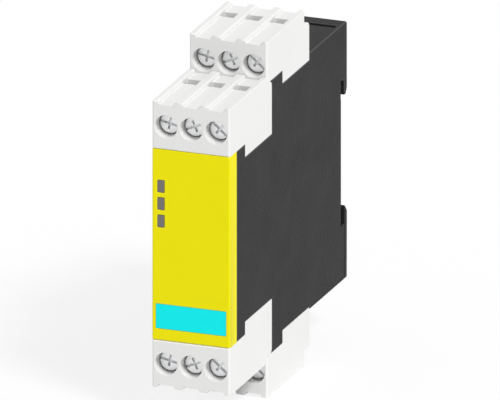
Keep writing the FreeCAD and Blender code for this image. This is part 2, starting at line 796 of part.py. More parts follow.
def main():
    """Builds every piece and writes it."""
    os.makedirs("parts", exist_ok=True)
    save("housing_shell", housing_shell())
    save("front_cover", front_cover())
    save("label_strip", label_box(LABEL_GAP, 0))
    save("light_guide", light_guide())
    save("status_leds", leds())
    save("main_board", main_board())
    save("logic_board", logic_board())
    save("board_link", board_link())
    save("controller_chips", chips())
    save("capacitors", capacitors())
    for i in range(RELAY_COUNT):
        save(f"safety_relay_{i + 1}", relay(i))
    save("rail_latch", rail_latch())
    save("latch_spring", latch_spring())
    for half, upper in HALVES:
        for row in ROWS:
            place = f"{half}_{row.name}"
            pins = blade_pins(row)
            save(f"pins_{place}", [put_half(p, upper) for p in pins])
            save(f"header_{place}", put_half(header_box(row).cut(pins), upper))
            save(f"block_{place}", row.place(block_body(row), upper))
            save(f"contacts_{place}", [row.place(b, upper) for b in contact_bars(row)])
            for i, x in enumerate(POLE_X):
                save(f"screw_{place}_{i + 1}", row.place(clamp_screw(x), upper))
                save(f"cage_{place}_{i + 1}", row.place(clamp_cage(x), upper))


main()
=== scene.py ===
"""Looks of a slim safety relay for a 35 mm mounting rail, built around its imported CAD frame.

The frame is in metres, with +X across the width, +Y out of the back towards the rail and +Z up. Sizes in
this file are in millimetres unless a comment says otherwise. mm() turns them into metres, and in_mm() turns
what the frame says into millimetres.
"""

import json
import logging
import math
from dataclasses import dataclass
from enum import Enum
from typing import Any

import bmesh
import bpy
from mathutils import Euler, Matrix, Vector

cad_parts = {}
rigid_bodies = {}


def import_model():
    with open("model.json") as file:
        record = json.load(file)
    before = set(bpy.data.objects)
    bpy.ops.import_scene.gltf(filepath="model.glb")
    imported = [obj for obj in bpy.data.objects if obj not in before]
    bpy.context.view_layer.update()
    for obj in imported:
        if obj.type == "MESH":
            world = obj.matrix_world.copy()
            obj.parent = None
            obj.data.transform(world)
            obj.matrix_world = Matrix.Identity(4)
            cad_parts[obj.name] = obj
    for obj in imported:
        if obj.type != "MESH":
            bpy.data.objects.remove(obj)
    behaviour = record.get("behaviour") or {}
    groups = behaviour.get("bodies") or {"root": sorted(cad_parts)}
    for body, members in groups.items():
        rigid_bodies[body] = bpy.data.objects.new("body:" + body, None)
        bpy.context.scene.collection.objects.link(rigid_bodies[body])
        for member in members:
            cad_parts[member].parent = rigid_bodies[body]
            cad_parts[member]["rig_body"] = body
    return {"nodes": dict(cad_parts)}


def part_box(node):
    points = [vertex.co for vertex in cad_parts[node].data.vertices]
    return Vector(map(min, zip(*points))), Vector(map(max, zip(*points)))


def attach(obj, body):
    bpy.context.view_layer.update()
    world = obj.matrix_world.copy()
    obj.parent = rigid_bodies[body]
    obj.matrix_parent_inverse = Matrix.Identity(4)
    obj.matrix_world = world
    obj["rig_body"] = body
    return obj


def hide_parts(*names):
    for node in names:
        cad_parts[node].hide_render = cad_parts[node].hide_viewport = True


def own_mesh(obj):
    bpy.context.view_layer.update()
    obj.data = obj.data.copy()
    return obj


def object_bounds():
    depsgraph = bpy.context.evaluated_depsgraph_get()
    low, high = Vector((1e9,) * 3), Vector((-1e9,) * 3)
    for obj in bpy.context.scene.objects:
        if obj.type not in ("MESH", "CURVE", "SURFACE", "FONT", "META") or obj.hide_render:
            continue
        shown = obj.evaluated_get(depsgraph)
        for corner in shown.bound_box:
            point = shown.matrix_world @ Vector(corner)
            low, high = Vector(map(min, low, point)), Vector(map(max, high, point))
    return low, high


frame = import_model()
CAD_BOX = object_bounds()

Pair = tuple[float, float]
Triple = tuple[float, float, float]

LOG = logging.getLogger("safety_relay")
MILLIMETRE = 0.001

# A wave texture of scale 1 repeats about every 0.3 m.
WAVE_PERIOD = 0.3

# Corners within MERGE_DISTANCE are one corner, and faces that turn by less than FLAT are one face. An edge
# that turns by more than SHARP is a moulded edge, which is eased, and shading is smooth up to SMOOTH.
MERGE_DISTANCE = 0.002
FLAT = math.radians(0.5)
SHARP = math.radians(32)
SMOOTH = math.radians(40)

# An edge has room to be eased where each edge across its ends is ROOM times as long as the eased edge is
# wide. Two edges count as one line where the cosine between them is at least ALIGNED.
ROOM = 2.2
ALIGNED = 0.85


class Slot(Enum):
    """The record's finishes, by the names it gives them."""

    HOUSING = "housing"
    COVER = "cover_yellow"
    LABEL = "label_cyan"
    LIGHT_GUIDE = "light_guide"
    TERMINAL = "terminal_grey"
    ZINC = "zinc_steel"
    TINNED = "tinned_copper"
    RELAY = "relay_case"
    SLEEVE = "capacitor_sleeve"
    CHIP = "chip_black"
    SPRING = "spring_steel"


class Half(Enum):
    """The two halves of the housing."""

    UPPER = "upper"
    LOWER = "lower"


class Row(Enum):
    """The two rows of terminal blocks."""

    FRONT = "front"
    REAR = "rear"


class Lay(Enum):
    """The way the fine lines of a metal surface run."""

    TURNED = "rings about the piece's own y axis"
    ROLLED = "lines along the sheet"


def mm(value: float) -> float:
    """Turns millimetres into metres."""
    return value * MILLIMETRE


def in_mm(value: float) -> float:
    """Turns metres into millimetres."""
    return value / MILLIMETRE


def linear(code: str) -> tuple[float, float, float, float]:
    """Turns an sRGB colour into the linear one that shaders use, by the standard's two-part curve.

    Args:
        code: the colour as six hex digits.

    Returns:
        Red, green and blue in linear light, and full alpha.
    """
    parts = [int(code[i : i + 2], 16) / 255 for i in (0, 2, 4)]
    red, green, blue = [p / 12.92 if p <= 0.04045 else ((p + 0.055) / 1.055) ** 2.4 for p in parts]
    return (red, green, blue, 1.0)


def add_node(
    tree: bpy.types.NodeTree,
    kind: str,
    inputs: dict[Any, Any] | None = None,
    **settings: Any,
) -> bpy.types.Node:
    """Adds one shader node.

    Args:
        tree: the tree that the node goes into.
        kind: Blender's name for the node.
        inputs: for each input, by name or number, a value or the output that feeds it.
        settings: the node's own properties.

    Returns:
        The new node.
    """
    node = tree.nodes.new(kind)
    for key, value in settings.items():
        setattr(node, key, value)
    for key, value in (inputs or {}).items():
        if isinstance(value, bpy.types.NodeSocket):
            tree.links.new(value, node.inputs[key])
        else:
            node.inputs[key].default_value = value
    return node


def blank_material(name: str) -> tuple[bpy.types.Material, bpy.types.NodeTree]:
    """Makes a material whose node tree is empty.

    Args:
        name: the material's name.

    Returns:
        The material and its node tree.
    """
    material = bpy.data.materials.new(name)
    material.use_nodes = True
    material.node_tree.nodes.clear()
    return material, material.node_tree


@dataclass(frozen=True)
class MouldedPlastic:
    """A thermoplastic as it leaves the tool, with faint flow marks and the tool's fine grain."""

    name: str
    colour: str
    flow_colour: str
    roughness: float
    # How wide a bump of the grain and a flow mark are, and how high the grain stands.
    grain: float = 0.5
    flow: float = 14.0
    relief: float = 0.012
    gloss_drift: float = 0.05
    gloss_level: float = 0.5
    ior: float = 1.53
    coat: float = 0.0
    coat_roughness: float = 0.2

    def material(self) -> bpy.types.Material:
        """Builds the material.

        Returns:
            A material whose colour and gloss drift over the flow marks and whose bump is the tool's grain.
        """
        material, tree = blank_material(self.name)
        place = add_node(tree, "ShaderNodeTexCoord").outputs["Object"]
        flow = add_node(
            tree,
            "ShaderNodeTexNoise",
            {"Vector": place, "Scale": 1 / mm(self.flow), "Detail": 3.0, "Distortion": 0.6},
        ).outputs["Fac"]
        resin = add_node(
            tree,
            "ShaderNodeMix",
            {"Factor": flow, "A": linear(self.colour), "B": linear(self.flow_colour)},
            data_type="RGBA",
        )
        low, high = self.roughness - self.gloss_drift, self.roughness + self.gloss_drift
        gloss = add_node(tree, "ShaderNodeMapRange", {"Value": flow, "To Min": low, "To Max": high})
        grain = add_node(
            tree,
            "ShaderNodeTexNoise",
            {"Vector": place, "Scale": 1 / mm(self.grain), "Detail": 2.0, "Roughness": 0.6},
        )
        bump = add_node(
            tree,
            "ShaderNodeBump",
            {"Height": grain.outputs["Fac"], "Distance": mm(self.relief), "Strength": 1.0},
        )
        shader = add_node(
            tree,
            "ShaderNodeBsdfPrincipled",
            {
                "Base Color": resin.outputs[2],
                "Roughness": gloss.outputs["Result"],
                "IOR": self.ior,
                "Specular IOR Level": self.gloss_level,
                "Coat Weight": self.coat,
                "Coat Roughness": self.coat_roughness,
                "Normal": bump.outputs["Normal"],
            },
        )
        add_node(tree, "ShaderNodeOutputMaterial", {"Surface": shader.outputs["BSDF"]})
        return material


@dataclass(frozen=True)
class Metal:
    """A plated or bare metal with the fine lines of how it was turned or rolled."""

    name: str
    colour: str
    stain_colour: str
    roughness: float
    lay: Lay
    # How far apart the lines are, how many times longer than that a rolled line is, how deep the lines are
    # and how wide a cloud of the plating is.
    spacing: float = 0.3
    run: float = 20.0
    relief: float = 0.006
    stain: float = 2.5
    gloss_drift: float = 0.08

    def material(self) -> bpy.types.Material:
        """Builds the material.

        Returns:
            A metal whose colour clouds slightly where the plating is thin, with lines in its gloss and bump.
        """
        material, tree = blank_material(self.name)
        place = add_node(tree, "ShaderNodeTexCoord").outputs["Object"]
        cloud = add_node(
            tree, "ShaderNodeTexNoise", {"Vector": place, "Scale": 1 / mm(self.stain), "Detail": 4.0}
        ).outputs["Fac"]
        colour = add_node(
            tree,
            "ShaderNodeMix",
            {"Factor": cloud, "A": linear(self.colour), "B": linear(self.stain_colour)},
            data_type="RGBA",
        )
        if self.lay is Lay.TURNED:
            scale = WAVE_PERIOD / mm(self.spacing)
            lines = add_node(
                tree,
                "ShaderNodeTexWave",
                {"Vector": place, "Scale": scale, "Distortion": 1.5, "Detail": 2.0},
                wave_type="RINGS",
                rings_direction="Y",
            ).outputs["Fac"]
        else:
            across, along = 1 / mm(self.spacing), 1 / mm(self.spacing * self.run)
            drawn = add_node(
                tree, "ShaderNodeVectorMath", {0: place, 1: (across, along, across)}, operation="MULTIPLY"
            )
            lines = add_node(
                tree, "ShaderNodeTexNoise", {"Vector": drawn.outputs["Vector"], "Scale": 1.0, "Detail": 3.0}
            ).outputs["Fac"]
        low, high = self.roughness - self.gloss_drift, self.roughness + self.gloss_drift
        gloss = add_node(tree, "ShaderNodeMapRange", {"Value": lines, "To Min": low, "To Max": high})
        bump = add_node(
            tree, "ShaderNodeBump", {"Height": lines, "Distance": mm(self.relief), "Strength": 0.8}
        )
        shader = add_node(
            tree,
            "ShaderNodeBsdfPrincipled",
            {
                "Base Color": colour.outputs[2],
                "Roughness": gloss.outputs["Result"],
                "Metallic": 1.0,
                "Normal": bump.outputs["Normal"],
            },
        )
        add_node(tree, "ShaderNodeOutputMaterial", {"Surface": shader.outputs["BSDF"]})
        return material


@dataclass(frozen=True)
class SolderMask:
    """Lacquer over a glass fibre board, which shows the copper tracks under it as paler, raised lines."""

    name: str
    colour: str
    track_colour: str
    roughness: float
    # How far apart the tracks are, where in the pattern a track's edge begins and ends, how high a track
    # stands and how wide a bump of the glass weave is.
    track: float = 2.2
    track_edge: Pair = (0.36, 0.42)
    relief: float = 0.035
    weave: float = 0.6
    gloss_drift: float = 0.06
    ior: float = 1.55
    coat: float = 0.5
    coat_roughness: float = 0.15

    def material(self) -> bpy.types.Material:
        """Builds the material.

        Returns:
            A glossy lacquer with a net of straight tracks and pads in colour and bump.
        """
        material, tree = blank_material(self.name)
        place = add_node(tree, "ShaderNodeTexCoord").outputs["Object"]
        cells = add_node(
            tree,
            "ShaderNodeTexVoronoi",
            {"Vector": place, "Scale": 1 / mm(self.track), "Randomness": 0.75},
            feature="F1",
            distance="CHEBYCHEV",
        ).outputs["Distance"]
        start, end = self.track_edge
        tracks = add_node(
            tree,
            "ShaderNodeMapRange",
            {"Value": cells, "From Min": start, "From Max": end, "To Min": 0.0, "To Max": 1.0},
        ).outputs["Result"]
        weave = add_node(
            tree, "ShaderNodeTexNoise", {"Vector": place, "Scale": 1 / mm(self.weave), "Detail": 2.0}
        ).outputs["Fac"]
        colour = add_node(
            tree,
            "ShaderNodeMix",
            {"Factor": tracks, "A": linear(self.colour), "B": linear(self.track_colour)},
            data_type="RGBA",
        )
        low, high = self.roughness - self.gloss_drift, self.roughness + self.gloss_drift
        gloss = add_node(tree, "ShaderNodeMapRange", {"Value": weave, "To Min": low, "To Max": high})
        bump = add_node(
            tree, "ShaderNodeBump", {"Height": tracks, "Distance": mm(self.relief), "Strength": 1.0}
        )
        shader = add_node(
            tree,
            "ShaderNodeBsdfPrincipled",
            {
                "Base Color": colour.outputs[2],
                "Roughness": gloss.outputs["Result"],
                "IOR": self.ior,
                "Coat Weight": self.coat,
                "Coat Roughness": self.coat_roughness,
                "Normal": bump.outputs["Normal"],
            },
        )
        add_node(tree, "ShaderNodeOutputMaterial", {"Surface": shader.outputs["BSDF"]})
        return material


@dataclass(frozen=True)
class ClearPlastic:
    """A see-through plastic or cast resin, tinted and slightly clouded, ribbed where it spreads light."""

    name: str
    colour: str
    cloud_colour: str
    roughness: float
    transmission: float
    ior: float
    # How wide a cloud is, how far apart the spreading ribs are and how high they stand.
    cloud: float = 1.8
    rib: float = 0.45
    relief: float = 0.03
    gloss_drift: float = 0.04

    def material(self) -> bpy.types.Material:
        """Builds the material.

        Returns:
            A partly clear material with fine spreading ribs in its bump.
        """
        material, tree = blank_material(self.name)
        place = add_node(tree, "ShaderNodeTexCoord").outputs["Object"]
        cloud = add_node(
            tree, "ShaderNodeTexNoise", {"Vector": place, "Scale": 1 / mm(self.cloud), "Detail": 3.0}
        ).outputs["Fac"]
        colour = add_node(
            tree,
            "ShaderNodeMix",
            {"Factor": cloud, "A": linear(self.colour), "B": linear(self.cloud_colour)},
            data_type="RGBA",
        )
        low, high = self.roughness - self.gloss_drift, self.roughness + self.gloss_drift
        gloss = add_node(tree, "ShaderNodeMapRange", {"Value": cloud, "To Min": low, "To Max": high})
        ribs = add_node(
            tree,
            "ShaderNodeTexWave",
            {"Vector": place, "Scale": WAVE_PERIOD / mm(self.rib), "Distortion": 0.2},
            bands_direction="Z",
        ).outputs["Fac"]
        bump = add_node(
            tree, "ShaderNodeBump", {"Height": ribs, "Distance": mm(self.relief), "Strength": 1.0}
        )
        shader = add_node(
            tree,
            "ShaderNodeBsdfPrincipled",
            {
                "Base Color": colour.outputs[2],
                "Roughness": gloss.outputs["Result"],
                "IOR": self.ior,
                "Transmission Weight": self.transmission,
                "Normal": bump.outputs["Normal"],
            },
        )
        add_node(tree, "ShaderNodeOutputMaterial", {"Surface": shader.outputs["BSDF"]})
        return material


@dataclass(frozen=True)
class PaintedBoard:
    """The floor's matt white paint, which looks paler to the camera than it is to the object's light."""

    name: str
    colour: str
    roughness: float
    # The share of plain white that a camera, a gloss or a clear piece sees in the paint.
    lift: float
    # How wide a bump of the roller's nap is, and how high it stands.
    nap: float = 3.0
    relief: float = 0.01
    gloss_level: float = 0.1

    def material(self) -> bpy.types.Material:
        """Builds the material.

        Returns:
            A matt paint that is mixed with plain white where the camera, a gloss or a clear piece sees it.
        """
        material, tree = blank_material(self.name)
        place = add_node(tree, "ShaderNodeTexCoord").outputs["Object"]
        nap = add_node(
            tree, "ShaderNodeTexNoise", {"Vector": place, "Scale": 1 / mm(self.nap), "Detail": 2.0}
        )
        bump = add_node(tree, "ShaderNodeBump", {"Height": nap.outputs["Fac"], "Distance": mm(self.relief)})
        paint = add_node(
            tree,
            "ShaderNodeBsdfPrincipled",
            {
                "Base Color": linear(self.colour),
                "Roughness": self.roughness,
                "Specular IOR Level": self.gloss_level,
                "Normal": bump.outputs["Normal"],
            },
        )
        white = add_node(tree, "ShaderNodeEmission", {"Color": linear("ffffff"), "Strength": 1.0})
        share = add_node(
            tree, "ShaderNodeMath", {0: background_rays(tree), 1: self.lift}, operation="MULTIPLY"
        )
        mix = add_node(
            tree,
            "ShaderNodeMixShader",
            {0: share.outputs[0], 1: paint.outputs["BSDF"], 2: white.outputs["Emission"]},
        )
        add_node(tree, "ShaderNodeOutputMaterial", {"Surface": mix.outputs[0]})
        return material


def background_rays(tree: bpy.types.NodeTree) -> bpy.types.NodeSocket:
    """Finds the rays that show a background rather than light the object.

    Args:
        tree: the node tree that asks.

    Returns:
        An output that is 1 for camera, glossy and transmission rays, and 0 for others.
    """
    path = add_node(tree, "ShaderNodeLightPath")
    seen = add_node(
        tree,
        "ShaderNodeMath",
        {0: path.outputs["Is Camera Ray"], 1: path.outputs["Is Glossy Ray"]},
        operation="MAXIMUM",
    )
    shown = add_node(
        tree,
        "ShaderNodeMath",
        {0: seen.outputs[0], 1: path.outputs["Is Transmission Ray"]},
        operation="MAXIMUM",
    )
    return shown.outputs[0]


Finish = MouldedPlastic | Metal | SolderMask | ClearPlastic

# The grain of a spark-eroded tool is about 0.05 mm, which no render here shows, so it is drawn at 0.5 mm, and
# at 0.8 mm on the housing, whose tool has the roughest texture. Lines of turning and rolling are as fine, and
# are drawn 0.2 to 0.3 mm apart. A rubbed finish is the same plastic on an eased edge, smoother from use, and
# paler as a painted highlight along the edge.
FINISHES: dict[str, Finish] = {
    # Glass-filled polyamide, moulded matt: an anthracite that stays dull and even in the light.
    "housing": MouldedPlastic(
        "moulded_polyamide_anthracite", "2c2c2d", "252526", 0.6, grain=0.8, relief=0.2, gloss_level=0.1
    ),
    # Its eased edges are paler, a painted highlight along the edges, and smoother where they rub.
    "housing_edge": MouldedPlastic("rubbed_and_highlit_polyamide_anthracite", "3a3a3b", "343435", 0.5, gloss_level=0.3),
    # ABS, moulded satin: a full signal yellow with a soft highlight.
    "cover": MouldedPlastic("moulded_abs_yellow", "eae000", "e7dd00", 0.5, relief=0.02, gloss_level=0.1),
    # Its eased edges are paler, a painted highlight along the edges, and smoother where they rub.
    "cover_edge": MouldedPlastic("rubbed_and_highlit_abs_yellow", "efe608", "ece204", 0.42, gloss_level=0.25),
    # Printed polyester strip: smooth, with a thin clear film that gives a soft gloss.
    "label": MouldedPlastic("printed_polyester_cyan", "00e7e9", "00e3e5", 0.45, gloss_level=0.12),
    "label_edge": MouldedPlastic("cut_polyester_cyan", "0fc4c4", "0cbcbe", 0.5),
    # Polyamide, moulded satin: a cool light grey that reads as near white in the light.
    "terminal": MouldedPlastic("moulded_polyamide_light_grey", "e2e2e1", "dfdfde", 0.55, relief=0.01),
    # Its eased edges are paler, a painted highlight along the edges, and smoother where they rub.
    "terminal_edge": MouldedPlastic("rubbed_and_highlit_polyamide_light_grey", "e8e8e7", "e5e5e4", 0.45, relief=0.004),
    # Polycarbonate with smoke tint: a grey window that hides the dark diode behind it.
    "light_guide": ClearPlastic("moulded_polycarbonate_smoke", "77716f", "6b6766", 0.28, 0.15, 1.585),
    # Cast epoxy of a diode: clear with a straw tint.
    "led": ClearPlastic("cast_epoxy_clear", "d8d2b0", "cfc8a2", 0.15, 0.55, 1.5),
    # Zinc plated and passivated steel, turned: pale, slightly cloudy, with fine rings on the heads.
    "screw": Metal("turned_zinc_plated_steel", "f0f0f1", "e6e7e8", 0.45, Lay.TURNED),
    "cage": Metal("rolled_zinc_plated_steel", "d2d3d2", "c2c3c4", 0.36, Lay.ROLLED),
    # Tinned copper alloy strip: a softer, warmer white metal.
    "tinned": Metal("tinned_copper_strip", "d0ccc4", "bdb8ae", 0.32, Lay.ROLLED, spacing=0.2),
    # Drawn spring steel strip: darker, with lines along the strip.
    "spring": Metal("rolled_spring_steel", "a9abae", "96989b", 0.3, Lay.ROLLED, spacing=0.2),
    # Liquid crystal polymer headers: near black, dull.
    "header": MouldedPlastic("moulded_lcp_black", "262627", "212122", 0.55),
    # Solder mask over copper and glass fibre: a green lacquer with paler tracks.
    "board": SolderMask("solder_mask_green", "0d4a2a", "1f6e3f", 0.3),
    # PBT relay case: an off-white, matt.
    "relay": MouldedPlastic("moulded_pbt_off_white", "dcdcd2", "d5d5ca", 0.55),
    # Its eased edges are paler, a painted highlight along the edges, and smoother where they rub.
    "relay_edge": MouldedPlastic("rubbed_and_highlit_pbt_off_white", "e6e6de", "dfdfd6", 0.45),
    # Shrunk sleeve round a capacitor: dark and glossy, with soft wrinkles.
    "sleeve": MouldedPlastic("shrunk_sleeve", "22222c", "1c1c25", 0.28, grain=1.6, relief=0.03, coat=0.4),
    # Aluminium can, drawn: its end shows inside the sleeve.
    "can": Metal("drawn_aluminium", "cfd0d2", "c2c3c6", 0.3, Lay.ROLLED),
    # Moulded epoxy of a chip: black with a fine matt grain.
    "chip": MouldedPlastic("moulded_epoxy_black", "232324", "1e1e1f", 0.6, grain=0.3),
}


def finish(name: str) -> bpy.types.Material:
    """Gives the material of a finish, built once.

    Args:
        name: the finish's key.

    Returns:
        Its material.
    """
    made = bpy.data.materials.get(FINISHES[name].name)
    return made or FINISHES[name].material()


def body_of(node: str) -> str:
    """Gives the body that a CAD node moves with."""
    return frame["nodes"][node]["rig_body"]


def dress(node: str, key: str) -> None:
    """Gives a CAD node that keeps its own shape its finish.

    Args:
        node: the CAD node.
        key: the finish's key.
    """
    target = frame["nodes"][node]
    target.data.materials.clear()
    target.data.materials.append(finish(key))
    LOG.info("%s dressed in %s", node, FINISHES[key].name)


def report(piece: bpy.types.Object, body: str, nodes: list[str] | None = None) -> None:
    """Puts a piece on its body, hides the CAD nodes that it stands for and logs it.

    Args:
        piece: the piece, in place.
        body: the CAD body that it moves with.
        nodes: the CAD nodes that it replaces.
    """
    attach(piece, body)
    if nodes:
        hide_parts(*nodes)
    LOG.info("%s on %s: %d faces", piece.name, body, len(piece.data.polygons))


def add_object(name: str, data: bpy.types.ID) -> bpy.types.Object:
    """Makes an object and puts it in the scene.

    Args:
        name: the object's name.
        data: its mesh, lamp or camera.

    Returns:
        The new object.
    """
    item = bpy.data.objects.new(name, data)
    bpy.context.scene.collection.objects.link(item)
    return item


def link_mesh(name: str, mesh: bpy.types.Mesh, materials: list[str]) -> bpy.types.Object:
    """Makes an object of a mesh, shades it and gives it its finishes.

    Args:
        name: the piece's name.
        mesh: its mesh, in metres, which keeps the finishes that it has.
        materials: keys of its finishes, in the order of its material slots.

    Returns:
        The new object.
    """
    if not mesh.materials:
        for key in materials:
            mesh.materials.append(finish(key))
    mesh.shade_smooth()
    mesh.set_sharp_from_angle(angle=SMOOTH)
    piece = add_object(name, mesh)
    piece.modifiers.new("even_shading", "WEIGHTED_NORMAL").keep_sharp = True
    return piece


def mesh_of(shape: bmesh.types.BMesh, name: str) -> bpy.types.Mesh:
    """Writes a shape to a new mesh and frees it.

    Args:
        shape: the shape.
        name: the mesh's name.

    Returns:
        The new mesh.
    """
    mesh = bpy.data.meshes.new(name)
    shape.to_mesh(mesh)
    shape.free()
    return mesh


def has_room(edge: bmesh.types.BMEdge, width: float) -> bool:
    """Tells whether an edge can be eased without running into its neighbours.

    Args:
        edge: the edge.
        width: the width of the eased edge, in metres.

    Returns:
        Whether each edge that meets it at a corner is long enough or only continues its line.
    """
    along = edge.verts[0].co - edge.verts[1].co
    for vert in edge.verts:
        for other in vert.link_edges:
            across = other.verts[0].co - other.verts[1].co
            cosine = abs(along.normalized().dot(across.normalized()))
            if across.length < ROOM * width and cosine < ALIGNED:
                return False
    return True


def eased_copy(node: str, name: str, width: float, materials: list[str], steps: int = 2) -> bpy.types.Object:
    """Copies a CAD node with its sharp moulded edges eased, as a real tool leaves them.

    Args:
        node: the CAD node.
        name: the new piece's name.
        width: how wide each eased edge is, in millimetres.
        materials: keys of the finishes of the faces and of the eased edges.
        steps: faces across an eased edge.

    Returns:
        The new piece, which doesn't ride on anything yet.
    """
    shape = bmesh.new()
    shape.from_mesh(frame["nodes"][node].data)
    bmesh.ops.remove_doubles(shape, verts=shape.verts, dist=mm(MERGE_DISTANCE))
    bmesh.ops.dissolve_limit(shape, angle_limit=FLAT, verts=shape.verts, edges=shape.edges)
    sharp = [e for e in shape.edges if e.calc_face_angle(0.0) > SHARP]
    for face in shape.faces:
        face.material_index = 0
    bmesh.ops.bevel(
        shape,
        geom=[e for e in sharp if has_room(e, mm(width))],
        offset=mm(width),
        offset_type="OFFSET",
        segments=steps,
        profile=0.5,
        affect="EDGES",
        clamp_overlap=False,
        # The eased edges take the last finish. On the housing, cover, terminals and relays it is paler: a
        # painted highlight along the edges.
        material=len(materials) - 1,
    )
    return link_mesh(name, mesh_of(shape, name), materials)


def revolved(profile: list[Pair], steps: int) -> bmesh.types.BMesh:
    """Turns a profile about the y axis into a closed shape.

    Args:
        profile: radius and y of each point, from one end of the axis to the other.
        steps: corners of each ring.

    Returns:
        The closed shape, in metres.
    """
    shape = bmesh.new()
    rings = []
    for radius, y in profile:
        ring = []
        for i in range(steps):
            turn = 2 * math.pi * i / steps
            ring.append(shape.verts.new((mm(radius) * math.cos(turn), mm(y), mm(radius) * math.sin(turn))))
        rings.append(ring)
    for near, far in zip(rings, rings[1:]):
        for i in range(steps):
            j = (i + 1) % steps
            shape.faces.new((near[i], near[j], far[j], far[i]))
    shape.faces.new(list(reversed(rings[0])))
    shape.faces.new(rings[-1])
    bmesh.ops.recalc_face_normals(shape, faces=shape.faces)
    return shape


def add_box(shape: bmesh.types.BMesh, size: Triple, centre: Triple) -> None:
    """Adds a block to a shape.

    Args:
        shape: the shape that it goes into.
        size: its length along x, y and z.
        centre: its middle.
    """
    place = Matrix.Translation(Vector(centre) * MILLIMETRE) @ Matrix.Diagonal((*[mm(s) for s in size], 1.0))
    bmesh.ops.create_cube(shape, size=1.0, matrix=place)


def cut(body: bpy.types.Mesh, tool: bmesh.types.BMesh) -> bpy.types.Mesh:
    """Cuts a tool's shape out of a mesh.

    Args:
        body: the mesh to cut.
        tool: the closed shape that is taken away.

    Returns:
        The cut mesh.
    """
    work = add_object("cut_body", body)
    knife = add_object("cut_tool", mesh_of(tool, "cut_tool"))
    step = work.modifiers.new("cut", "BOOLEAN")
    step.object = knife
    step.operation = "DIFFERENCE"
    step.solver = "EXACT"
    step.use_self = True
    graph = bpy.context.evaluated_depsgraph_get()
    result = bpy.data.meshes.new_from_object(work.evaluated_get(graph))
    bpy.data.objects.remove(work)
    bpy.data.objects.remove(knife)
    return result


@dataclass
class Housing:
    """The moulded cup, with the sliding rail latch and its spring."""

    edge: float = 0.25
    latch_edge: float = 0.3
    latch_travel: float = 3.5
    spring_edge: float = 0.06

    def build(self) -> None:
        """Builds the cup, the latch and the spring."""
        shell = eased_copy("housing_shell", "housing", self.edge, ["housing", "housing_edge"])
        report(shell, "root", ["housing_shell"])
        latch = eased_copy("rail_latch", "latch_slide", self.latch_edge, ["housing", "housing_edge"])
        report(latch, body_of("rail_latch"), ["rail_latch"])
        self.build_spring()

    def build_spring(self) -> None:
        """Builds the flat zigzag spring, which stands on the housing, and gives it a mesh of its own. The
        real spring shortens as the latch is pulled; this piece keeps its shape.
        """
        spring = eased_copy("latch_spring", "latch_zigzag_spring", self.spring_edge, ["spring"], steps=1)
        report(spring, "root", ["latch_spring"])
        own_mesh(spring)


@dataclass
class FrontCover:
    """The yellow cap with its label strip, its status windows and the diodes behind them."""

    edge: float = 0.3
    label_edge: float = 0.12
    window_edge: float = 0.12

    def build(self) -> None:
        """Builds the cap, the strip and the light guide, and dresses the diodes."""
        cap = eased_copy("front_cover", "cover_cap", self.edge, ["cover", "cover_edge"])
        report(cap, "root", ["front_cover"])
        strip = eased_copy("label_strip", "cover_label", self.label_edge, ["label", "label_edge"])
        report(strip, "root", ["label_strip"])
        guide = eased_copy("light_guide", "status_windows", self.window_edge, ["light_guide"])
        report(guide, "root", ["light_guide"])
        dress("status_leds", "led")


